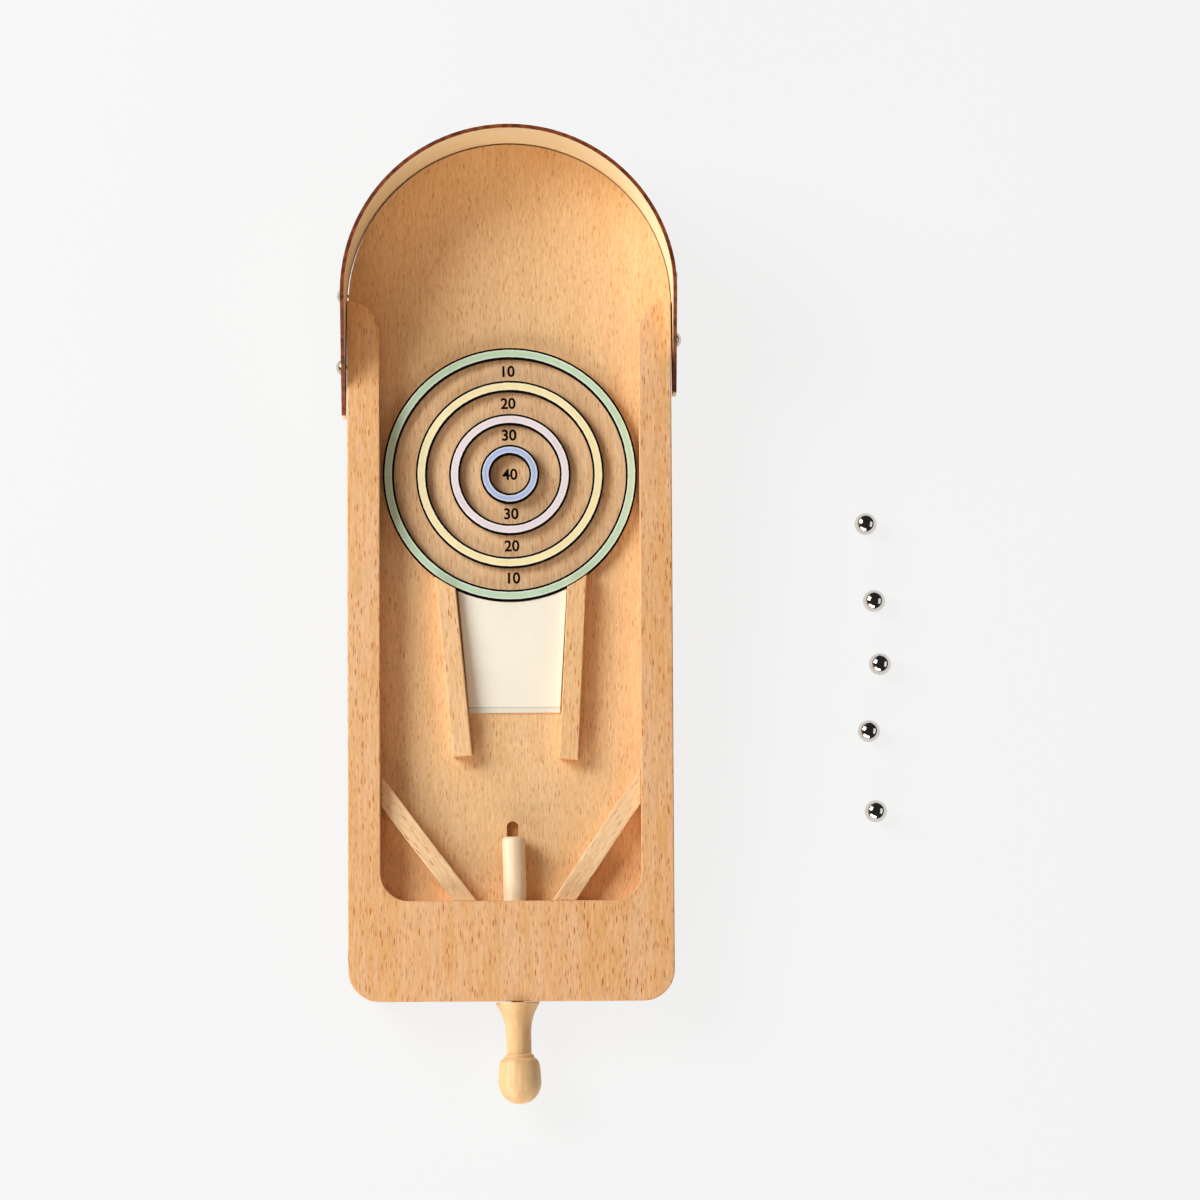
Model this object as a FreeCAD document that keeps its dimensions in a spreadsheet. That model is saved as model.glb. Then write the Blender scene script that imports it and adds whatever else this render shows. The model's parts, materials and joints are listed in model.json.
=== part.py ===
import FreeCAD, Part
import math
import os
import re
import Sketcher
from FreeCAD import Placement, Rotation, Vector

# Tabletop wooden pachinko machine, in millimetres.
# Every piece on the board is drawn flat: x to the right, y from the front face of the block
# towards the arc, z up from the top of the playfield. board_place() then tips it to its slope,
# so that the front pad and the rear foot stand on z = 0 with the origin under the front pad.

SIZES = {
    # boards, rails and block
    "half_width": 65, "arc_centre": 280.8, "base_thick": 6, "panel_thick": 3,
    "rail_width": 13, "rail_rise": 13, "block_length": 40,
    "outer_corner": 12.5, "inner_corner": 11.5, "rail_end_round": 12.5, "ease": 0.5,
    # slope and supports
    "slope": 4, "pad_mid": 11, "pad_depth": 10, "pad_thick": 2, "pad_blank": 4,
    "support_width": 90, "foot_start": 284, "foot_depth": 16, "foot_blank": 34,
    "screw_spread": 30, "screw_y": 292, "screw_seat": 25, "screw_head_r": 3,
    "screw_head": 1.7, "screw_shank_r": 1.5, "screw_length": 21.5, "screw_slot": 0.8,
    "recess_r": 3.4,
    # hoop round the arc: a hair away from the board, more so at its ends, and leaning a little
    "hoop_gap": 0.5, "hoop_splay": 0.4, "hoop_lean": 1, "hoop_shift": 0.2,
    "hoop_thick": 1.5, "hoop_rise": 40, "hoop_end_rise": 4, "hoop_end_round": 3,
    "hoop_top_round": 12, "hoop_slant": 46, "hoop_left_end": 235, "hoop_right_end": 244,
    "hoop_reach": 74,
    "tack_drop": 4.5, "tack_head_r": 3.5, "tack_dome": 2.6, "tack_shank_r": 0.7,
    "tack_shank": 10, "tack_left_front": 255.8, "tack_left_back": 284.8,
    "tack_right_front": 266.6, "tack_right_back": 293,
    # target disc and its four rings
    "disc_x": 0, "disc_y": 211.4, "disc_r": 51.1, "disc_thick": 0.6, "ring_rise": 3,
    "ring_top_rise": 4, "green_r": 51.1, "green_hole": 46.7, "yellow_r": 37.8,
    "yellow_hole": 33.4, "lilac_r": 24.4, "lilac_hole": 20.1, "blue_r": 11.8,
    "blue_hole": 7.85,
    # ramp: a bent sheet on a wedge, between two rails
    "ramp_start": 115.5, "ramp_flange": 2.2, "ramp_sheet": 1, "ramp_top": 3.4,
    "ramp_clear": 0.4,
    "ramp_left_low": 16.7, "ramp_right_low": 19.7, "ramp_left_high": 21.4,
    "ramp_right_high": 22.9, "ramp_high": 170,
    "ramp_rail_half": 3.8, "ramp_rail_rise": 7, "ramp_rail_length": 80,
    "ramp_rail_left_x": 19.2, "ramp_rail_left_y": 98, "ramp_rail_left_lean": 5.5,
    "ramp_rail_right_x": 23.2, "ramp_rail_right_y": 96.7, "ramp_rail_right_lean": 2.9,
    # slanted guide strips in the front corners
    "strip_rise": 7.5, "left_high": 90.6, "left_low": 78, "left_near": 13.8,
    "left_far": 23.2, "right_high": 92.8, "right_low": 78.9, "right_near": 16.3,
    "right_far": 25.9,
    # plunger
    "plunger_x": 2.35, "plunger_z": 6, "plunger_yaw": 1.25, "rod_r": 4.6, "rod_front": 65.6,
    "rod_shoulder": 34, "rod_nose": 1, "tail_r": 2.5, "tail_end": 12, "bore_r": 5,
    "tail_bore_r": 2.8, "bore_floor": 6, "knob_gap": 0.3, "washer_thick": 0.5,
    "washer_r": 4.4, "washer_hole": 2.9, "spring_r": 3.75, "spring_wire_r": 0.4,
    "spring_turns": 7, "pin_r": 1, "pin_y": 61.6, "pin_low": 2.4, "pin_high": 3.6,
    # slot in the playfield
    "slot_x": 0.5, "slot_half": 2.3, "slot_start": 37, "slot_round": 69.7,
    # steel balls on the table beside the machine
    "ball_r": 4.5,
    # the table, and how far a cutting tool passes the piece that it cuts
    "table_side": 900, "table_depth": 100, "spare": 1,
}

# Where the five balls lie on the table, from the origin under the front pad.
BALL_PLACES = [(144, 181.7), (147, 150.1), (149.1, 124.3), (144.3, 97), (146.7, 64.5)]

# The turned knob from its flare to its round end: (radius, distance out from the block).
KNOB_OUTLINE = [
    ("line", (8.7, 0.3)),
    ("line", (8.7, 1.0)),
    ("arc", (6.3, 5.7), (5.1, 13.0)),
    ("line", (5.0, 21.0)),
    ("arc", (5.9, 21.6), (6.0, 22.4)),
    ("arc", (7.2, 23.2), (7.9, 24.4)),
    ("arc", (8.4, 27.2), (8.5, 30.5)),
    ("arc", (7.4, 36.6), (3.6, 40.2)),
    ("arc", (2.3, 40.6), (0.8, 40.9)),
]

# How near two points count as one place, and the least volume that a cut or a piece may have.
NEAR = 0.05
LEAST_CUT = 0.01
LEAST_PIECE = 1

doc = FreeCAD.newDocument("pachinko_machine")
sheet = doc.addObject("Spreadsheet::Sheet", "dim")


def fill_sheet():
    for row, (name, value) in enumerate(SIZES.items(), 1):
        sheet.set(f"A{row}", name)
        sheet.set(f"B{row}", str(value))
        sheet.setAlias(f"B{row}", name)
    doc.recompute()


def size(text):
    """The value of a sum of cell names, such as 'arc_centre - rail_width'."""
    total = 0
    for sign, word in re.findall(r"([+-]?)\s*([A-Za-z_]+|[0-9.]+)", text):
        number = float(sheet.get(word)) if word[0].isalpha() else float(word)
        total += -number if sign == "-" else number
    return total


def formula(text):
    """The same sum, written as an expression on the spreadsheet."""
    return re.sub(r"([A-Za-z_]+)", r"dim.\1", text)


def bind(thing, **sizes):
    for name, text in sizes.items():
        thing.setExpression(name, formula(text))


# ---- places ---------------------------------------------------------------

def board_place(x=0, y=0, z=0, yaw=0):
    """A place on the sloped board, given in the flat board's own axes."""
    tip = Rotation(Vector(1, 0, 0), size("slope"))
    stand = Vector(0, size("pad_mid"), -size("base_thick + panel_thick + pad_thick"))
    board = Placement(tip.multVec(stand).negative(), tip)
    return board.multiply(Placement(Vector(x, y, z), Rotation(Vector(0, 0, 1), yaw)))


def plunger_place(along=0):
    """A place on the plunger's line, which runs slightly askew through the block."""
    line = board_place(size("plunger_x"), 0, size("plunger_z"), size("plunger_yaw"))
    return line.multiply(Placement(Vector(0, along, 0), Rotation()))


# ---- sketches and features ------------------------------------------------

def new_body(label, place):
    body = doc.addObject("PartDesign::Body", label)
    body.Label = label
    body.Placement = place
    return body


def new_sketch(body, name, role="XY_Plane", lift="0"):
    sketch = body.newObject("Sketcher::SketchObject", name)
    plane = [part for part in body.Origin.OriginFeatures if part.Role == role][0]
    sketch.AttachmentSupport = [(plane, "")]
    sketch.MapMode = "FlatFace"
    sketch.AttachmentOffset = Placement(Vector(0, 0, size(lift)), Rotation())
    if lift != "0":
        sketch.setExpression("AttachmentOffset.Base.z", formula(lift))
    return sketch


def fix_point(sketch, edge, point, across, along):
    for kind, text in (("DistanceX", across), ("DistanceY", along)):
        index = sketch.addConstraint(Sketcher.Constraint(kind, edge, point, size(text)))
        sketch.setExpression(f"Constraints[{index}]", formula(text))


def draw_polygon(sketch, corners):
    """A closed polygon whose corners are pairs of sums of cell names."""
    ends = [Vector(size(x), size(y), 0) for x, y in corners]
    first = sketch.GeometryCount
    for number, start in enumerate(ends):
        sketch.addGeometry(Part.LineSegment(start, ends[(number + 1) % len(ends)]), False)
    for number, (x, y) in enumerate(corners):
        following = first + (number + 1) % len(ends)
        sketch.addConstraint(Sketcher.Constraint("Coincident", first + number, 2, following, 1))
        fix_point(sketch, first + number, 1, x, y)


def draw_circle(sketch, x, y, radius):
    circle = Part.Circle(Vector(size(x), size(y), 0), Vector(0, 0, 1), size(radius))
    edge = sketch.addGeometry(circle, False)
    fix_point(sketch, edge, 3, x, y)
    index = sketch.addConstraint(Sketcher.Constraint("Radius", edge, size(radius)))
    sketch.setExpression(f"Constraints[{index}]", formula(radius))


def add_feature(body, kind, sketch, length, **settings):
    feature = body.newObject(f"PartDesign::{kind}", f"{body.Name}_{kind}")
    feature.Profile = sketch
    feature.setExpression("Length", formula(length))
    for name, value in settings.items():
        setattr(feature, name, value)
    sketch.Visibility = False
    doc.recompute()
    return feature


def cut_feature(body, sketch, length, **settings):
    before = body.Shape.Volume
    add_feature(body, "Pocket", sketch, length, **settings)
    if not body.Shape.Volume < before - LEAST_CUT:
        raise RuntimeError(f"{body.Label}: a pocket cut nothing")


def round_edges(body, radius, wanted):
    """Fillet the edges of a body for which wanted(edge) is true, in the body's own axes."""
    tip = body.Tip
    names = [f"Edge{number}" for number, edge in enumerate(tip.Shape.Edges, 1) if wanted(edge)]
    if not names:
        raise RuntimeError(f"{body.Label}: no edge to round")
    fillet = body.newObject("PartDesign::Fillet", f"{body.Name}_Fillet")
    fillet.Base = (tip, names)
    fillet.setExpression("Radius", formula(radius))
    doc.recompute()


def upright_at(x, y):
    """True for an upright edge standing at (x, y)."""
    def wanted(edge):
        ends = [vertex.Point for vertex in edge.Vertexes]
        if len(ends) != 2 or abs(ends[0].z - ends[1].z) < NEAR:
            return False
        return all(math.hypot(abs(end.x) - x, end.y - y) < NEAR for end in ends)
    return wanted


def across_at(along, height):
    """True for a short edge that runs level across the machine at the given y and z."""
    def wanted(edge):
        ends = [vertex.Point for vertex in edge.Vertexes]
        return len(ends) == 2 and all(
            math.hypot(end.y - along, end.z - height) < NEAR for end in ends)
    return wanted


def flat_at(height):
    """True for an edge that lies in the plane z = height."""
    def wanted(edge):
        return abs(edge.BoundBox.ZMin - height) + abs(edge.BoundBox.ZMax - height) < NEAR
    return wanted


def turn(body, outline):
    """Revolve an outline of (radius, distance) points about the body's own y axis."""
    sketch = new_sketch(body, f"{body.Name}_outline")
    here = Vector(*outline[0][1], 0)
    last = Vector(0, outline[-1][-1][1], 0)
    first = Vector(0, here.y, 0)
    sketch.addGeometry(Part.LineSegment(first, here), False)
    for step in outline[1:]:
        there = Vector(*step[-1], 0)
        if step[0] == "arc":
            sketch.addGeometry(Part.Arc(here, Vector(*step[1], 0), there), False)
        else:
            sketch.addGeometry(Part.LineSegment(here, there), False)
        here = there
    if here.x > 0:
        sketch.addGeometry(Part.LineSegment(here, last), False)
    sketch.addGeometry(Part.LineSegment(last, first), False)
    for edge in range(sketch.GeometryCount):
        sketch.addConstraint(Sketcher.Constraint("Block", edge))
    solid = body.newObject("PartDesign::Revolution", f"{body.Name}_turned")
    solid.Profile = sketch
    solid.ReferenceAxis = (sketch, ["V_Axis"])
    solid.Angle = 360
    doc.recompute()


# ---- plain solids ---------------------------------------------------------

def new_box(name, length, width, height, place):
    box = doc.addObject("Part::Box", name)
    bind(box, Length=length, Width=width, Height=height)
    box.Placement = place
    return box


def new_cylinder(name, radius, height, place):
    cylinder = doc.addObject("Part::Cylinder", name)
    bind(cylinder, Radius=radius, Height=height)
    cylinder.Placement = place
    return cylinder


def cut_away(label, base, tool):
    result = doc.addObject("Part::Cut", label)
    result.Label = label
    result.Base = base
    result.Tool = tool
    doc.recompute()
    if not result.Shape.Volume < base.Shape.Volume - LEAST_CUT:
        raise RuntimeError(f"{label}: the tool cut nothing")
    return result


def along_line(place):
    """Turn a cylinder's axis from up to along the plunger's line."""
    return place.multiply(Placement(Vector(), Rotation(Vector(1, 0, 0), -90)))


# ---- boards, frame and hoop -----------------------------------------------

def board_blank(label, lift, thick):
    """The outline of the machine: a rectangle with a half-round end and two rounded corners."""
    body = new_body(label, board_place())
    straight = new_sketch(body, f"{label}_straight", lift=lift)
    draw_polygon(straight, [("-half_width", "0"), ("half_width", "0"),
                            ("half_width", "arc_centre"), ("-half_width", "arc_centre")])
    add_feature(body, "Pad", straight, thick)
    arc = new_sketch(body, f"{label}_arc", lift=lift)
    draw_circle(arc, "0", "arc_centre", "half_width")
    add_feature(body, "Pad", arc, thick)
    round_edges(body, "outer_corner", upright_at(size("half_width"), 0))
    return body


def make_base_board():
    board = board_blank("base_board", "-panel_thick - base_thick", "base_thick")
    holes = new_sketch(board, "screw_holes", lift="-panel_thick - base_thick")
    for x in ("screw_spread", "-screw_spread"):
        draw_circle(holes, x, "screw_y", "screw_shank_r")
    cut_feature(board, holes, "base_thick", Reversed=True)
    return board


def make_playfield_panel():
    panel = board_blank("playfield_panel", "-panel_thick", "panel_thick")
    straight = new_sketch(panel, "slot_straight")
    left, right = "slot_x - slot_half", "slot_x + slot_half"
    draw_polygon(straight, [(left, "slot_start"), (right, "slot_start"),
                            (right, "slot_round"), (left, "slot_round")])
    cut_feature(panel, straight, "panel_thick")
    end = new_sketch(panel, "slot_end")
    draw_circle(end, "slot_x", "slot_round", "slot_half")
    cut_feature(panel, end, "panel_thick")
    return panel


def make_u_frame():
    blank = new_body("frame_blank", board_place())
    outline = new_sketch(blank, "frame_outline")
    inner = "half_width - rail_width"
    draw_polygon(outline, [("-half_width", "0"), ("half_width", "0"),
                           ("half_width", "arc_centre"), (inner, "arc_centre"),
                           (inner, "block_length"), ("-half_width + rail_width", "block_length"),
                           ("-half_width + rail_width", "arc_centre"),
                           ("-half_width", "arc_centre")])
    add_feature(blank, "Pad", outline, "rail_rise")
    inside = size(inner)
    round_edges(blank, "outer_corner", upright_at(size("half_width"), 0))
    round_edges(blank, "inner_corner", upright_at(inside, size("block_length")))
    round_edges(blank, "rail_end_round", upright_at(inside, size("arc_centre")))
    round_edges(blank, "ease", flat_at(size("rail_rise")))
    wide = new_cylinder("wide_bore", "bore_r", "block_length",
                        along_line(plunger_place(size("bore_floor"))))
    narrow = new_cylinder("narrow_bore", "tail_bore_r", "block_length",
                          along_line(plunger_place(-size("block_length - bore_floor") / 2)))
    bored = cut_away("frame_bored", blank, wide)
    return cut_away("u_frame", bored, narrow)


def hoop_place():
    """The board's place, moved a little to the left and leaning a little to the right."""
    lean = Rotation(Vector(0, 1, 0), size("hoop_lean"))
    return board_place(-size("hoop_shift")).multiply(Placement(Vector(), lean))


def make_hoop_band():
    """A thin bent strip round the arc, standing up from the board and slanting off at its ends."""
    hoop = new_body("hoop_band", hoop_place())
    foot = "-panel_thick - base_thick"
    height = "hoop_rise + panel_thick + base_thick"
    bow = new_sketch(hoop, "hoop_bow", lift=foot)
    draw_circle(bow, "0", "arc_centre", "half_width + hoop_gap + hoop_thick")
    draw_circle(bow, "0", "arc_centre", "half_width + hoop_gap")
    add_feature(hoop, "Pad", bow, height)
    front = new_sketch(hoop, "hoop_front", lift=foot)
    draw_polygon(front, [("-hoop_reach", "arc_centre - hoop_reach"),
                         ("hoop_reach", "arc_centre - hoop_reach"),
                         ("hoop_reach", "arc_centre"), ("-hoop_reach", "arc_centre")])
    cut_feature(hoop, front, height, Reversed=True)
    for side, mark in (("left", "-"), ("right", "+")):
        end = f"hoop_{side}_end"
        near = f"{mark} half_width {mark} hoop_gap"
        far = f"{near} {mark} hoop_thick"
        leg = new_sketch(hoop, f"hoop_leg_{side}", lift=foot)
        draw_polygon(leg, [(f"{near} {mark} hoop_splay", end), (f"{far} {mark} hoop_splay", end),
                           (far, "arc_centre"), (near, "arc_centre")])
        add_feature(hoop, "Pad", leg, height)
    for side in ("left", "right"):
        end = f"hoop_{side}_end"
        slant = new_sketch(hoop, f"hoop_slant_{side}", "YZ_Plane")
        draw_polygon(slant, [(f"{end} - spare", "hoop_end_rise"), (end, "hoop_end_rise"),
                             (f"{end} + hoop_slant", "hoop_rise"),
                             (f"{end} + hoop_slant", "hoop_rise + spare"),
                             (f"{end} - spare", "hoop_rise + spare")])
        cut_feature(hoop, slant, "hoop_reach", Reversed=side == "right")
        round_edges(hoop, "hoop_end_round", across_at(size(end), size("hoop_end_rise")))
        round_edges(hoop, "hoop_top_round",
                    across_at(size(f"{end} + hoop_slant"), size("hoop_rise")))
    return hoop


def make_tack():
    """One dome-headed tack, its head's flat side at the origin and its shank along -z."""
    head_r, dome = size("tack_head_r"), size("tack_dome")
    ball_r = (head_r * head_r + dome * dome) / (2 * dome)
    head = Part.makeSphere(ball_r, Vector(0, 0, dome - ball_r))
    head = head.common(Part.makeCylinder(ball_r, dome))
    shank = Part.makeCylinder(size("tack_shank_r"), size("tack_shank"),
                              Vector(0, 0, dome / 2), Vector(0, 0, -1))
    return head.fuse(shank).removeSplitter()


def make_hoop_tacks():
    tacks = []
    reach = size("half_width + hoop_gap + hoop_thick")
    for side, names in ((-1, ("tack_left_front", "tack_left_back")),
                        (1, ("tack_right_front", "tack_right_back"))):
        for name in names:
            past = size(name) - size("arc_centre")
            turned = math.asin(max(0, past) / reach)
            splay = size("hoop_splay") * max(0, -past) / size("hoop_slant")
            spot = Vector(side * (reach * math.cos(turned) + splay), size(name),
                          -size("tack_drop"))
            outward = Vector(side * math.cos(turned), math.sin(turned), 0)
            tack = make_tack()
            tack.Placement = Placement(spot, Rotation(Vector(0, 0, 1), outward))
            tacks.append(tack)
    return group_of("hoop_tacks", tacks, hoop_place())


def group_of(label, solids, place):
    group = doc.addObject("Part::Feature", label)
    group.Label = label
    group.Shape = Part.makeCompound(solids)
    group.Placement = place
    return group


# ---- target and ramp ------------------------------------------------------

def make_target_disc():
    place = board_place(size("disc_x"), size("disc_y"))
    disc = new_cylinder("target_disc", "disc_r", "disc_thick", place)
    disc.Label = "target_disc"
    return disc


def make_ring(label, colour, rise):
    place = board_place(size("disc_x"), size("disc_y"), size("disc_thick"))
    ring = new_body(label, place)
    outline = new_sketch(ring, f"{label}_outline")
    draw_circle(outline, "0", "0", f"{colour}_r")
    draw_circle(outline, "0", "0", f"{colour}_hole")
    add_feature(ring, "Pad", outline, rise)
    return ring


def ramp_blank(label, side_view):
    """A slab with the given side view, trimmed to the ramp's outline seen from above."""
    slab = new_body(f"{label}_slab", board_place())
    profile = new_sketch(slab, f"{label}_profile", "YZ_Plane")
    draw_polygon(profile, side_view)
    add_feature(slab, "Pad", profile, "half_width", Midplane=True)
    column = new_body(f"{label}_column", board_place())
    plan = new_sketch(column, f"{label}_plan")
    draw_polygon(plan, [("-ramp_left_low", "ramp_start"), ("ramp_right_low", "ramp_start"),
                        ("ramp_right_high", "ramp_high"), ("-ramp_left_high", "ramp_high")])
    add_feature(column, "Pad", plan, "rail_rise")
    both = doc.addObject("Part::Common", f"{label}_blank")
    both.Base = slab
    both.Tool = column
    doc.recompute()
    return both


def disc_tool(label, radius="disc_r"):
    place = board_place(size("disc_x"), size("disc_y"), -size("spare"))
    return new_cylinder(f"{label}_disc_tool", radius, "rail_rise + spare + spare", place)


def make_ramp_plate():
    blank = ramp_blank("ramp_plate", [
        ("ramp_start", "0"), ("ramp_start + ramp_flange", "0"),
        ("ramp_high", "ramp_top - ramp_sheet"), ("ramp_high", "ramp_top"),
        ("ramp_start + ramp_flange", "ramp_sheet"), ("ramp_start", "ramp_sheet")])
    return cut_away("ramp_plate", blank, disc_tool("ramp_plate", "disc_r + ramp_clear"))


def make_ramp_wedge():
    blank = ramp_blank("ramp_wedge", [
        ("ramp_start + ramp_flange", "0"), ("ramp_high", "0"),
        ("ramp_high", "ramp_top - ramp_sheet")])
    return cut_away("ramp_wedge", blank, disc_tool("ramp_wedge", "disc_r + ramp_clear"))


def make_ramp_rail(side, sign):
    """A square rail leaning outward up the board, coped to the edge of the target disc."""
    label = f"ramp_rail_{side}"
    lean = -sign * size(f"{label}_lean")
    blank = new_body(f"{label}_blank",
                     board_place(sign * size(f"{label}_x"), size(f"{label}_y"), 0, lean))
    outline = new_sketch(blank, f"{label}_outline")
    draw_polygon(outline, [("-ramp_rail_half", "0"), ("ramp_rail_half", "0"),
                           ("ramp_rail_half", "ramp_rail_length"),
                           ("-ramp_rail_half", "ramp_rail_length")])
    add_feature(blank, "Pad", outline, "ramp_rail_rise")
    round_edges(blank, "ease", flat_at(size("ramp_rail_rise")))
    return cut_away(label, blank, disc_tool(label))


def make_guide_strip(side, sign):
    """A slanted strip from the side rail down to the block, which leads balls to the plunger."""
    strip = new_body(f"guide_strip_{side}", board_place())
    outline = new_sketch(strip, f"guide_{side}_outline")
    mark = "-" if sign < 0 else ""
    wall = "-half_width + rail_width" if sign < 0 else "half_width - rail_width"
    draw_polygon(outline, [(wall, f"{side}_high"), (f"{mark}{side}_near", "block_length"),
                           (f"{mark}{side}_far", "block_length"), (wall, f"{side}_low")])
    add_feature(strip, "Pad", outline, "strip_rise")
    round_edges(strip, "ease", flat_at(size("strip_rise")))
    return strip


# ---- plunger --------------------------------------------------------------

def pin_place():
    """Where the guide pin starts, below the rod."""
    drop = Placement(Vector(0, 0, -size("plunger_z + pin_low")), Rotation())
    return plunger_place(size("pin_y")).multiply(drop)


def make_plunger_rod():
    """The dowel with its nose, its shoulder for the spring and its thin tail for the knob."""
    rod = new_body("rod_blank", plunger_place())
    front, shoulder = size("rod_front"), size("rod_shoulder")
    rod_r, nose, tail_r = size("rod_r"), size("rod_nose"), size("tail_r")
    turn(rod, [("line", (tail_r, -size("tail_end"))), ("line", (tail_r, shoulder)),
               ("line", (rod_r, shoulder)), ("line", (rod_r, front - nose)),
               ("line", (rod_r - nose, front))])
    hole = new_cylinder("pin_hole", "pin_r", "plunger_z + pin_high", pin_place())
    return cut_away("plunger_rod", rod, hole)


def make_guide_pin():
    pin = new_cylinder("guide_pin", "pin_r", "plunger_z + pin_high", pin_place())
    pin.Label = "guide_pin"
    return pin


def make_plunger_knob():
    knob = new_body("knob_blank", plunger_place().multiply(
        Placement(Vector(), Rotation(Vector(0, 0, 1), 180))))
    turn(knob, KNOB_OUTLINE)
    socket = new_cylinder("knob_socket", "tail_r", "tail_end",
                          along_line(plunger_place(-size("tail_end"))))
    return cut_away("plunger_knob", knob, socket)


def make_washer(label, along):
    ring = new_cylinder(f"{label}_blank", "washer_r", "washer_thick",
                        along_line(plunger_place(along)))
    hole = new_cylinder(f"{label}_hole", "washer_hole", "washer_thick + spare + spare",
                        along_line(plunger_place(along - size("spare"))))
    return cut_away(label, ring, hole)


def make_plunger_spring():
    """An open coil round the rod's tail, between the two washers."""
    wire_r, coil_r = size("spring_wire_r"), size("spring_r")
    start = size("bore_floor + washer_thick") + wire_r
    length = size("rod_shoulder - washer_thick") - wire_r - start
    pitch = length / size("spring_turns")
    helix = Part.makeLongHelix(pitch, length, coil_r)
    rise = Vector(0, 2 * math.pi * coil_r, pitch)
    profile = Part.Wire(Part.makeCircle(wire_r, Vector(coil_r, 0, 0), rise))
    spring = doc.addObject("Part::Feature", "plunger_spring")
    spring.Label = "plunger_spring"
    spring.Shape = Part.Wire(helix).makePipeShell([profile], True, True)
    spring.Placement = along_line(plunger_place(start))
    return spring


# ---- supports, fasteners and balls ----------------------------------------

def make_support(label, start, depth, blank_height):
    """A bar under the board whose underside is cut level with the table."""
    drop = f"panel_thick + base_thick + {blank_height}"
    place = board_place(-size("support_width") / 2, start, -size(drop))
    bar = new_box(f"{label}_bar", "support_width", depth, blank_height, place)
    return cut_away(label, bar, table)


def make_rear_foot():
    """The bar that lifts the arc's end, drilled for its two screws and recessed for their heads."""
    foot = make_support("foot_solid", size("foot_start"), "foot_depth", "foot_blank")
    under = -size("panel_thick + base_thick + foot_blank")
    recess_under = -size("screw_seat + foot_blank")
    for number, x in enumerate((-size("screw_spread"), size("screw_spread"))):
        hole = new_cylinder(f"foot_hole_{number}", "screw_shank_r", "foot_blank + spare",
                            board_place(x, size("screw_y"), under))
        foot = cut_away(f"foot_drilled_{number}", foot, hole)
        recess = new_cylinder(f"foot_recess_{number}", "recess_r", "foot_blank",
                              board_place(x, size("screw_y"), recess_under))
        foot = cut_away("rear_foot" if number else "foot_recessed", foot, recess)
    return foot


def make_foot_screws():
    """Two slotted screws, their heads bearing in the foot's recesses."""
    screws = []
    head_r, head, slot = size("screw_head_r"), size("screw_head"), size("screw_slot")
    for x in (-size("screw_spread"), size("screw_spread")):
        seat = Vector(x, size("screw_y"), -size("screw_seat"))
        shank = Part.makeCylinder(size("screw_shank_r"), size("screw_length"), seat)
        cap = Part.makeCylinder(head_r, head, seat - Vector(0, 0, head))
        groove = Part.makeBox(2 * head_r, slot, slot, seat - Vector(head_r, slot / 2, head))
        screws.append(shank.fuse(cap).cut(groove).removeSplitter())
    return group_of("foot_screws", screws, board_place())


def make_balls():
    balls = []
    for number, (x, y) in enumerate(BALL_PLACES, 1):
        ball = doc.addObject("Part::Sphere", f"ball_{number}")
        ball.Label = f"ball_{number}"
        bind(ball, Radius="ball_r")
        ball.Placement = Placement(Vector(x, y, size("ball_r")), Rotation())
        balls.append(ball)
    return balls


# ---- the whole machine ----------------------------------------------------

fill_sheet()
half_table = size("table_side") / 2
table = new_box("table", "table_side", "table_side", "table_depth",
                Placement(Vector(-half_table, -half_table, -size("table_depth")), Rotation()))

parts = [make_base_board(), make_playfield_panel(), make_u_frame(), make_hoop_band(),
         make_hoop_tacks(), make_target_disc()]
parts += [make_ring(f"ring_{points}_{colour}", colour, rise) for points, colour, rise in (
    (10, "green", "ring_rise"), (20, "yellow", "ring_rise"), (30, "lilac", "ring_rise"),
    (40, "blue", "ring_top_rise"))]
parts += [make_ramp_plate(), make_ramp_wedge()]
for side, sign in (("left", -1), ("right", 1)):
    parts += [make_ramp_rail(side, sign), make_guide_strip(side, sign)]
parts += [make_plunger_rod(), make_guide_pin(), make_plunger_knob(), make_plunger_spring(),
          make_washer("seat_washer", size("bore_floor")),
          make_washer("shoulder_washer", size("rod_shoulder - washer_thick"))]
parts += [make_support("front_pad", size("pad_mid") - size("pad_depth") / 2, "pad_depth",
                       "pad_blank"),
          make_rear_foot(), make_foot_screws()]
parts += make_balls()

doc.recompute()
for thing in doc.Objects:
    if "Invalid" in thing.State or "Error" in thing.State:
        raise RuntimeError(f"{thing.Name} failed: {thing.State}")
for part in parts:
    if part.Shape.isNull() or not part.Shape.isValid() or part.Shape.Volume < LEAST_PIECE:
        raise RuntimeError(f"{part.Label} has no valid shape")
os.makedirs("parts", exist_ok=True)
for part in parts:
    part.Shape.exportStep(f"parts/{part.Label}.step")
    box = part.Shape.BoundBox
    print(f"{part.Label:20s} {len(part.Shape.Solids)} solid  {part.Shape.Volume:9.1f} mm3  "
          f"x {box.XMin:7.2f} {box.XMax:7.2f}  y {box.YMin:7.2f} {box.YMax:7.2f}  "
          f"z {box.ZMin:6.2f} {box.ZMax:6.2f}")
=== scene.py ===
import json
import math

import bmesh
import bpy
from mathutils import Matrix, Vector


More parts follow.
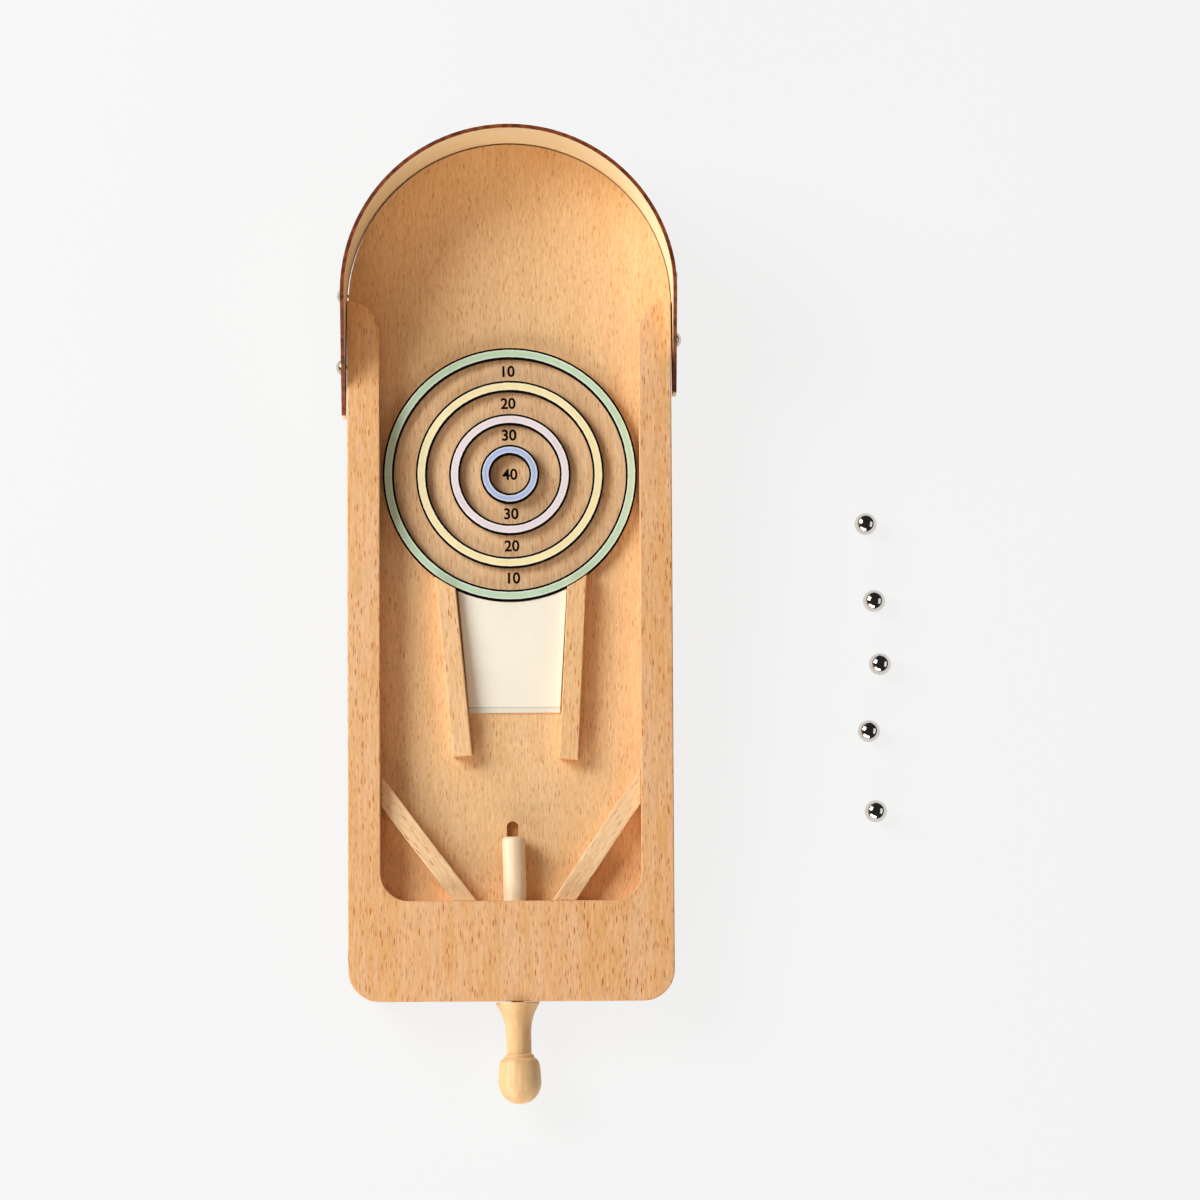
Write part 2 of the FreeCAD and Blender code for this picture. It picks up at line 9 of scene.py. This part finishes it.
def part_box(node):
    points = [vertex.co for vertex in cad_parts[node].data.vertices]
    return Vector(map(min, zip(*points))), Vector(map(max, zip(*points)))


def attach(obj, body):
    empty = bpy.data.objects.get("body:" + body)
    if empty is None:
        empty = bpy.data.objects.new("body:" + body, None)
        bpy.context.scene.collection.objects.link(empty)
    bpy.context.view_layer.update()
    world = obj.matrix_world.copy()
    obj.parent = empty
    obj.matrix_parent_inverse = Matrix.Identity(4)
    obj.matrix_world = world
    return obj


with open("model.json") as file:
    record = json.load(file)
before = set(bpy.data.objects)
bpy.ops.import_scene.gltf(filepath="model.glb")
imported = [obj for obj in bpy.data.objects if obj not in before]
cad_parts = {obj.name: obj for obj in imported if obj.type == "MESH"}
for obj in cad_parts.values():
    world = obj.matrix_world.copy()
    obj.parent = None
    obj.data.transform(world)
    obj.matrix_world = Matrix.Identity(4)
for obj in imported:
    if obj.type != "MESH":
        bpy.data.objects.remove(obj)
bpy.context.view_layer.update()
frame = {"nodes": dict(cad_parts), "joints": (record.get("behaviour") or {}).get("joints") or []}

# The board's own axes: x to the right, y from the block's front face towards the arc, z up from
# the playfield's top. The board stands on its front pad and slopes up towards the arc.
MM = 0.001
PULL = Vector(next(j["axis"] for j in frame["joints"] if j["name"] == "plunger_slide"))
SLOPE = math.atan2(-PULL.z, -PULL.y)
PAD_TO_PLAYFIELD = 11 * MM
PAD_FROM_FRONT = 11 * MM
BOARD = (Matrix.Rotation(SLOPE, 4, "X")
         @ Matrix.Translation((0, -PAD_FROM_FRONT, PAD_TO_PLAYFIELD)))


def on_board(node, corner=0.5):
    """A point of a node's box, from its lowest (0) to its highest corner (1), on the board."""
    low, high = (Vector(end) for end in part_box(node))
    return BOARD.inverted() @ low.lerp(high, corner)


# The middle of the disc's top, as the disc lies on the playfield, and how far its print is turned.
DISC = on_board("target_disc")
DISC.z *= 2
PRINT_TURN = math.radians(1.3)

# How deep the fine relief of each kind of surface is.
WOOD_GRAIN = 0.04 * MM
PLY_GRAIN = 0.05 * MM
PAINT_GRAIN = 0.03 * MM
CARD_GRAIN = 0.02 * MM
RUBBER_GRAIN = 0.08 * MM
STEEL_SCRATCH = 0.01 * MM

PLY_PAIR = 2.0 * MM         # one pale and one dark layer
LASER_RIM = 0.75 * MM       # the burnt line along a ring's edges
CARD_LIP = 2.2 * MM


# ---- node graphs ----------------------------------------------------------

class Graph:
    """Short ways to add and join shader nodes."""

    def __init__(self, name):
        self.material = bpy.data.materials.new(name)
        self.material.use_nodes = True
        self.tree = self.material.node_tree
        self.shader = next(n for n in self.tree.nodes if n.type == "BSDF_PRINCIPLED")

    def add(self, kind, **settings):
        node = self.tree.nodes.new(kind)
        for name, value in settings.items():
            setattr(node, name, value)
        return node

    def put(self, value, socket):
        if isinstance(value, bpy.types.NodeSocket):
            self.tree.links.new(value, socket)
        else:
            socket.default_value = value

    def maths(self, operation, first, second=0.0):
        node = self.add("ShaderNodeMath", operation=operation)
        self.put(first, node.inputs[0])
        self.put(second, node.inputs[1])
        return node.outputs[0]

    def ramp(self, value, low, high, at_low=0.0, at_high=1.0):
        """A number eased from at_low to at_high as value goes from low to high."""
        node = self.add("ShaderNodeMapRange", interpolation_type="SMOOTHSTEP")
        for socket, setting in zip(node.inputs, (value, low, high, at_low, at_high)):
            self.put(setting, socket)
        return node.outputs[0]

    def mix(self, share, first, second, blend="MIX"):
        node = self.add("ShaderNodeMix", data_type="RGBA", blend_type=blend)
        self.put(share, node.inputs[0])
        self.put(first, node.inputs[6])
        self.put(second, node.inputs[7])
        return node.outputs[2]

    def shaded(self, colour, shade):
        return self.mix(1.0, colour, shade, "MULTIPLY")

    def split(self, vector):
        node = self.add("ShaderNodeSeparateXYZ")
        self.put(vector, node.inputs[0])
        return node.outputs[0], node.outputs[1], node.outputs[2]

    def scaled(self, vector, scale, offset=0.0):
        node = self.add("ShaderNodeMapping")
        node.inputs["Location"].default_value = (offset,) * 3
        node.inputs["Scale"].default_value = scale
        self.put(vector, node.inputs["Vector"])
        return node.outputs[0]

    def place(self, turn=0.0, scale=(1, 1, 1), origin=(0, 0, 0)):
        """Object coordinates in the axes of a piece that is moved and turned on the board."""
        local = BOARD @ Matrix.Translation(origin) @ Matrix.Rotation(turn, 4, "Z")
        back = local.inverted()
        shift = self.add("ShaderNodeMapping")
        shift.inputs["Location"].default_value = back.to_translation()
        shift.inputs["Rotation"].default_value = back.to_euler()
        self.put(self.add("ShaderNodeTexCoord").outputs["Object"], shift.inputs["Vector"])
        return self.scaled(shift.outputs[0], scale)

    def noise(self, vector, scale=1.0, detail=2.0, rough=0.5):
        node = self.add("ShaderNodeTexNoise")
        self.put(vector, node.inputs["Vector"])
        node.inputs["Scale"].default_value = scale
        node.inputs["Detail"].default_value = detail
        node.inputs["Roughness"].default_value = rough
        return node.outputs["Fac"]

    def bump(self, height, depth):
        node = self.add("ShaderNodeBump")
        node.inputs["Strength"].default_value = 1.0
        node.inputs["Distance"].default_value = depth
        self.put(height, node.inputs["Height"])
        self.put(node.outputs[0], self.shader.inputs["Normal"])

    def surface(self, colour, roughness, specular=None):
        """Set the shader's main inputs and give back the finished material."""
        self.put(colour, self.shader.inputs["Base Color"])
        self.put(roughness, self.shader.inputs["Roughness"])
        if specular is not None:
            self.shader.inputs["Specular IOR Level"].default_value = specular
        return self.material


def linear(red, green, blue):
    """A colour given as it looks on screen, 0 to 255, as the shader wants it."""
    def one(value):
        value /= 255
        return value / 12.92 if value <= 0.04045 else ((value + 0.055) / 1.055) ** 2.4
    return (one(red), one(green), one(blue), 1.0)


# ---- materials ------------------------------------------------------------

def beech(name, pale, gold, fleck, turn=0.0, seed=0.0, fleck_depth=0.9, faint_depth=0.6,
          fleck_size=1.0):
    """Beech: fine streaks of two tones, with the short brown flecks of its rays along the grain.

    turn points the grain along the piece, and seed moves the pattern so that no two match.
    """
    graph = Graph(name)
    board = graph.place(turn=turn, scale=(1 / MM,) * 3, origin=(seed, 0, 0))

    def stretched(across, along, offset):
        """The board's coordinates, with a cell that is across by along in millimetres."""
        return graph.scaled(board, (1 / across, 1 / along, 1 / across), offset)

    def flecks(across, along, offset, size):
        """One fleck in each cell, some of them only half as strong."""
        cells = graph.add("ShaderNodeTexVoronoi")
        graph.put(stretched(across * fleck_size, along * fleck_size, offset),
                  cells.inputs["Vector"])
        cells.inputs["Scale"].default_value = 1.0
        channels = graph.add("ShaderNodeSeparateColor")
        graph.put(cells.outputs["Color"], channels.inputs[0])
        chance = graph.ramp(channels.outputs[0], 0.0, 1.0, 0.5, 1.0)
        return graph.maths("MULTIPLY", chance,
                           graph.ramp(cells.outputs["Distance"], size * 0.6, size, 1.0, 0.0))

    broad = graph.noise(stretched(9, 120, 0))
    streak = graph.noise(stretched(0.9, 16, 7), detail=3)
    fibre = graph.noise(stretched(0.4, 4, 3), detail=2)
    tone = graph.maths("ADD", graph.ramp(streak, 0.34, 0.66, 0.0, 0.6),
                       graph.ramp(broad, 0.38, 0.62, 0.0, 0.3))
    wood = graph.shaded(graph.mix(tone, pale, gold), graph.ramp(fibre, 0.28, 0.72, 0.91, 1.07))
    strong = graph.maths("MULTIPLY", flecks(1.4, 9.0, 11, 0.22), fleck_depth)
    faint = graph.maths("MULTIPLY", flecks(0.8, 5.4, 23, 0.3), faint_depth)
    mark = graph.maths("MAXIMUM", strong, faint)
    graph.bump(graph.maths("SUBTRACT", fibre, mark), WOOD_GRAIN)
    return graph.surface(graph.mix(mark, wood, fleck),
                         graph.ramp(fibre, 0.2, 0.8, 0.48, 0.62), 0.2)


def plain_beech(name, **settings):
    return beech(name, linear(238, 194, 154), linear(230, 176, 116), linear(192, 100, 48),
                 **settings)


def veneer_beech(name, pale=(242, 204, 160), gold=(233, 189, 140), **settings):
    return beech(name, linear(*pale), linear(*gold), linear(202, 128, 72), fleck_depth=0.75,
                 faint_depth=0.5, fleck_size=0.8, **settings)


def ramp_beech(name, **settings):
    return beech(name, linear(245, 204, 160), linear(237, 190, 138), linear(200, 116, 62),
                 **settings)


def strip_beech(name, **settings):
    return beech(name, linear(248, 216, 176), linear(238, 196, 150), linear(196, 122, 74),
                 fleck_depth=0.75, faint_depth=0.45, **settings)


def birch(name, pale, warm, across=1.4, along=40.0):
    """A plain, fine-grained wood; across and along are its grain's size in millimetres."""
    graph = Graph(name)
    board = graph.place(scale=(1 / (across * MM), 1 / (along * MM), 1 / (across * MM)))
    grain = graph.noise(board, detail=4, rough=0.55)
    fine = graph.noise(board, scale=5.0, detail=2, rough=0.6)
    graph.bump(fine, WOOD_GRAIN)
    colour = graph.shaded(graph.mix(graph.ramp(grain, 0.35, 0.7), pale, warm),
                          graph.ramp(fine, 0.3, 0.7, 0.95, 1.04))
    return graph.surface(colour, graph.ramp(fine, 0.2, 0.8, 0.4, 0.55), 0.35)


def painted_ring(name, paint, outer, inner, rise):
    """Paint on top, with a painted highlight in a pale band just inside its edges, and the black
    line and wall that laser cutting leaves.
    """
    graph = Graph(name)
    spot = graph.place(origin=DISC)
    x, y, z = graph.split(spot)
    radius = graph.maths("SQRT", graph.maths("ADD", graph.maths("POWER", x, 2.0),
                                             graph.maths("POWER", y, 2.0)))
    wobble = graph.noise(spot, scale=900.0, detail=2)
    wander = graph.maths("MULTIPLY", graph.maths("SUBTRACT", wobble, 0.5), 0.25 * MM)
    to_edge = graph.maths("MINIMUM", graph.maths("SUBTRACT", outer, radius),
                          graph.maths("SUBTRACT", radius, inner))
    from_edge = graph.maths("ADD", to_edge, wander)
    on_top = graph.ramp(z, rise - 0.3 * MM, rise - 0.1 * MM)
    painted = graph.maths("MULTIPLY",
                          graph.ramp(from_edge, LASER_RIM * 0.85, LASER_RIM * 1.1), on_top)
    tooth = graph.noise(spot, scale=2600.0, detail=3)
    cloud = graph.noise(spot, scale=160.0, detail=3)
    shade = graph.maths("MULTIPLY", graph.ramp(tooth, 0.25, 0.75, 0.95, 1.04),
                        graph.ramp(cloud, 0.3, 0.7, 0.96, 1.03))
    # Painted highlight: a pale band just inside the burnt line stands in for light caught by the
    # eased edges.
    edge_highlight = graph.ramp(from_edge, LASER_RIM * 1.3, LASER_RIM * 2.0, 0.45, 0.0)
    coat = graph.mix(edge_highlight, graph.shaded(paint, shade), linear(250, 246, 236))
    char = graph.mix(graph.ramp(wobble, 0.35, 0.75), linear(12, 9, 8), linear(34, 22, 16))
    graph.bump(tooth, PAINT_GRAIN)
    return graph.surface(graph.mix(painted, char, coat),
                         graph.ramp(painted, 0.0, 1.0, 0.8, 0.55), 0.08)


def hoop_wood():
    """Pale maple faces with edges that the laser has scorched brown."""
    graph = Graph("hoop_maple")
    spot = graph.place()
    grain = graph.noise(graph.scaled(spot, (60, 60, 1200)), detail=4, rough=0.6)
    pale = graph.mix(graph.ramp(grain, 0.35, 0.7), linear(254, 238, 204), linear(250, 226, 184))
    up = graph.add("ShaderNodeVectorMath", operation="DOT_PRODUCT")
    graph.put(graph.add("ShaderNodeNewGeometry").outputs["True Normal"], up.inputs[0])
    up.inputs[1].default_value = BOARD.to_3x3() @ Vector((0, 0, 1))
    edge = graph.ramp(graph.maths("ABSOLUTE", up.outputs["Value"]), 0.3, 0.6)
    scorch = graph.noise(spot, scale=350.0, detail=3)
    char = graph.mix(graph.ramp(scorch, 0.3, 0.7), linear(92, 46, 26), linear(156, 84, 44))
    graph.bump(grain, WOOD_GRAIN)
    return graph.surface(graph.mix(edge, pale, char), 0.5, 0.35)


def plywood():
    """Brown faces, with layers that show along the edges."""
    graph = Graph("base_plywood")
    spot = graph.place()
    height = graph.split(spot)[2]
    layer = graph.maths("SINE", graph.maths("MULTIPLY", height, 2 * math.pi / PLY_PAIR))
    grain = graph.noise(graph.scaled(spot, (900, 60, 900)), detail=4, rough=0.6)
    colour = graph.mix(graph.ramp(grain, 0.3, 0.7), linear(206, 160, 112), linear(180, 128, 82))
    colour = graph.mix(graph.ramp(layer, -0.2, 0.5, 0.0, 0.35), colour, linear(140, 92, 56))
    graph.bump(grain, PLY_GRAIN)
    return graph.surface(colour, 0.7)


def cream_card():
    """Smooth card, folded down at its lower end, with painted shade along the fold and on the
    folded-down edge below it.
    """
    graph = Graph("cream_card")
    spot = graph.place()
    fold = graph.maths("SUBTRACT", graph.split(spot)[1],
                       on_board("ramp_plate", 0).y + CARD_LIP)
    # Painted shade: the line along the fold and the folded-down strip below it are darkened to
    # stand in for the shade of the bend.
    crease_shade = graph.ramp(graph.maths("ABSOLUTE", fold), 0.1 * MM, 0.35 * MM, 0.72, 1.0)
    lip_shade = graph.ramp(fold, -0.2 * MM, 0.1 * MM, 0.9, 1.0)
    tooth = graph.noise(spot, scale=1500.0, detail=3)
    cloud = graph.noise(spot, scale=45.0, detail=2)
    shade = graph.maths("MULTIPLY", graph.ramp(tooth, 0.25, 0.75, 0.975, 1.02),
                        graph.ramp(cloud, 0.3, 0.7, 0.98, 1.01))
    shade = graph.maths("MULTIPLY", shade, graph.maths("MULTIPLY", crease_shade, lip_shade))
    graph.bump(tooth, CARD_GRAIN)
    return graph.surface(graph.shaded(linear(248, 241, 226), shade), 0.6, 0.3)


def metal(name, colour, rough, scratch):
    """Bare steel with faint smudges."""
    graph = Graph(name)
    spot = graph.place()
    smudge = graph.noise(spot, scale=260.0, detail=3)
    scratches = graph.noise(spot, scale=3000.0, detail=2)
    graph.shader.inputs["Metallic"].default_value = 1.0
    graph.bump(scratches, scratch)
    return graph.surface(graph.mix(graph.ramp(smudge, 0.3, 0.75, 0.0, 0.12), colour,
                                   linear(150, 146, 140)),
                         graph.ramp(smudge, 0.3, 0.75, rough, rough + 0.08))


def rubber():
    graph = Graph("pad_rubber")
    grain = graph.noise(graph.place(), scale=1800.0, detail=3)
    graph.bump(grain, RUBBER_GRAIN)
    return graph.surface(graph.mix(graph.ramp(grain, 0.3, 0.7), linear(46, 44, 42),
                                   linear(66, 63, 60)), 0.85)


def ink():
    graph = Graph("black_ink")
    speck = graph.noise(graph.place(), scale=2500.0, detail=2)
    return graph.surface(graph.mix(graph.ramp(speck, 0.4, 0.8), linear(18, 15, 14),
                                   linear(32, 27, 24)), 0.7, 0.08)


# ---- what each CAD node is made of ----------------------------------------

# Each ring's paint, outer and inner radius and height above the disc, in millimetres.
RINGS = {
    "ring_10_green": ((196, 220, 194), 51.1, 46.7, 3),
    "ring_20_yellow": ((247, 232, 184), 37.8, 33.4, 3),
    "ring_30_lilac": ((234, 221, 227), 24.4, 20.1, 3),
    "ring_40_blue": ((178, 192, 228), 11.8, 7.85, 4),
}
STEEL_NODES = ("hoop_tacks", "foot_screws", "guide_pin", "seat_washer", "shoulder_washer",
               "plunger_spring")
BALL_NODES = [f"ball_{number}" for number in range(1, 6)]


def dress(node, material):
    """Give a CAD node's every slot this material."""
    mesh = frame["nodes"][node].data
    if not mesh.materials:
        mesh.materials.append(material)
    for number in range(len(mesh.materials)):
        mesh.materials[number] = material


def dress_all():
    turned = math.radians
    dress("u_frame", plain_beech("frame_beech"))
    dress("playfield_panel", veneer_beech("playfield_beech", seed=0.3))
    dress("target_disc", veneer_beech("disc_beech", (245, 207, 166), (236, 190, 145), seed=0.7,
                                      turn=PRINT_TURN))
    dress("base_board", plywood())
    dress("ramp_wedge", plywood())
    dress("rear_foot", plain_beech("foot_beech", seed=1.1, turn=turned(90)))
    dress("ramp_rail_left", ramp_beech("ramp_left_beech", seed=0.2, turn=turned(5.5)))
    dress("ramp_rail_right", ramp_beech("ramp_right_beech", seed=0.4, turn=turned(-2.9)))
    dress("guide_strip_left", strip_beech("strip_left_beech", seed=0.5, turn=turned(38)))
    dress("guide_strip_right", strip_beech("strip_right_beech", seed=0.6, turn=turned(-35)))
    dress("hoop_band", hoop_wood())
    dress("ramp_plate", cream_card())
    dress("plunger_rod", birch("rod_birch", linear(251, 229, 198), linear(244, 216, 182)))
    dress("plunger_knob",
          birch("knob_birch", linear(244, 208, 160), linear(232, 188, 136), across=5))
    for node, (paint, outer, inner, rise) in RINGS.items():
        dress(node, painted_ring(f"paint_{node}", linear(*paint), outer * MM, inner * MM,
                                 rise * MM))
    steel = metal("tack_nickel", linear(214, 206, 190), 0.22, STEEL_SCRATCH)
    for node in STEEL_NODES:
        dress(node, steel)
    polished = metal("ball_steel", linear(222, 218, 212), 0.07, 0.0)
    for node in BALL_NODES:
        dress(node, polished)
    dress("front_pad", rubber())


# ---- printed numerals -----------------------------------------------------

# The points in each gap between rings, and how far up the board from the disc's middle they are.
NUMERALS = ((10, 41.7), (20, 28.7), (30, 15.9), (40, 0.0), (30, -15.9), (20, -28.9), (10, -41.9))
NUMERAL_SIZE = 6.1 * MM
INK_SPREAD = 0.13 * MM
INK_THICK = 0.02 * MM
INK_LIFT = 0.03 * MM


def print_numerals():
    """The numerals on the target, one row of them across the rings, as thin prints of ink."""
    black = ink()
    turned = Matrix.Translation(DISC) @ Matrix.Rotation(PRINT_TURN, 4, "Z")
    for number, (points, along) in enumerate(NUMERALS, 1):
        curve = bpy.data.curves.new(f"print_{points}_{number}", "FONT")
        curve.body = str(points)
        curve.size = NUMERAL_SIZE
        curve.align_x = "CENTER"
        curve.align_y = "CENTER"
        curve.extrude = INK_THICK
        curve.offset = INK_SPREAD
        curve.materials.append(black)
        text = bpy.data.objects.new(f"print_{points}_{number}", curve)
        bpy.context.collection.objects.link(text)
        text.matrix_world = BOARD @ turned @ Matrix.Translation((0, along * MM, INK_LIFT))
        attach(text, "frame")


# ---- studio ---------------------------------------------------------------

CAMERA_TILT = math.radians(8.3)
CAMERA_ROLL = math.radians(0.3)
CAMERA_AIM = Vector((36.0, 147.4, 30.0)) * MM
CAMERA_AWAY = 2.203
CAMERA_LENS = 165.0
SENSOR_WIDTH = 36.0

FLOOR_HALF = 3.0
FLOOR_DROP = 0.2 * MM       # keeps it clear of the feet's faces
FLOOR_GREY = 0.08
FLOOR_GLOW = 0.705
ROOM_GLOW = 0.035

# Each light's bearing clockwise from +Y, height in degrees, distance, size in metres, power in
# watts and colour, from the middle of the machine.
LIT_POINT = Vector((30, 150, 30)) * MM
LIGHTS = {
    "key": (297, 36, 1.5, (0.8, 0.8), 18.8, (0.94, 1.0, 1.02)),
    "front_left_fill": (203, 20, 1.5, (1.6, 0.7), 13.0, (1.0, 0.95, 0.88)),
    "right_fill": (95, 28, 1.5, (1.2, 0.7), 2.2, (1.0, 1.0, 1.0)),
    "overhead": (180, 88, 3.2, (2.0, 2.0), 15.0, (1.0, 0.78, 0.6)),
}
NOT_IN_REFLECTIONS = ("overhead",)


def make_camera():
    camera = bpy.data.objects.new("camera", bpy.data.cameras.new("camera"))
    bpy.context.collection.objects.link(camera)
    forward = Vector((0, math.sin(CAMERA_TILT), -math.cos(CAMERA_TILT)))
    camera.location = CAMERA_AIM - forward * CAMERA_AWAY
    turn = Matrix.Rotation(CAMERA_TILT, 3, "X")
    roll = Matrix.Rotation(CAMERA_ROLL, 3, forward)
    camera.rotation_euler = (roll @ turn).to_euler()
    camera.data.lens = CAMERA_LENS
    camera.data.sensor_width = SENSOR_WIDTH
    camera.data.clip_start = 0.05
    camera.data.clip_end = 20.0
    bpy.context.scene.camera = camera


def make_light(name, bearing, height, away, size, power, colour):
    """A soft rectangular light that faces the machine."""
    light = bpy.data.lights.new(name, "AREA")
    light.shape = "RECTANGLE"
    light.size, light.size_y = size
    light.energy = power
    light.color = colour
    lamp = bpy.data.objects.new(name, light)
    bpy.context.collection.objects.link(lamp)
    turn = Matrix.Rotation(-math.radians(bearing), 3, "Z")
    direction = turn @ Matrix.Rotation(math.radians(height), 3, "X") @ Vector((0, 1, 0))
    lamp.location = LIT_POINT + direction * away
    lamp.rotation_euler = direction.to_track_quat("Z", "Y").to_euler()
    lamp.visible_glossy = name not in NOT_IN_REFLECTIONS


def make_floor():
    """A pale sweep that glows a little, as a lit product table does."""
    mesh = bpy.data.meshes.new("floor")
    shape = bmesh.new()
    bmesh.ops.create_grid(shape, x_segments=1, y_segments=1, size=FLOOR_HALF)
    shape.to_mesh(mesh)
    shape.free()
    floor = bpy.data.objects.new("floor", mesh)
    bpy.context.collection.objects.link(floor)
    floor.location = (0, 0, -FLOOR_DROP)
    graph = Graph("floor_paper")
    graph.shader.inputs["Emission Color"].default_value = (1, 1, 1, 1)
    graph.shader.inputs["Emission Strength"].default_value = FLOOR_GLOW
    mesh.materials.append(graph.surface((FLOOR_GREY, FLOOR_GREY, FLOOR_GREY, 1), 0.9, 0.0))


def make_studio():
    make_floor()
    for name, settings in LIGHTS.items():
        make_light(name, *settings)
    world = bpy.data.worlds.new("studio")
    world.use_nodes = True
    background = world.node_tree.nodes["Background"]
    background.inputs["Color"].default_value = (1, 1, 1, 1)
    background.inputs["Strength"].default_value = ROOM_GLOW
    scene = bpy.context.scene
    scene.world = world
    scene.view_settings.view_transform = "Standard"
    scene.view_settings.look = "Medium High Contrast"


make_camera()
make_studio()
dress_all()
print_numerals()
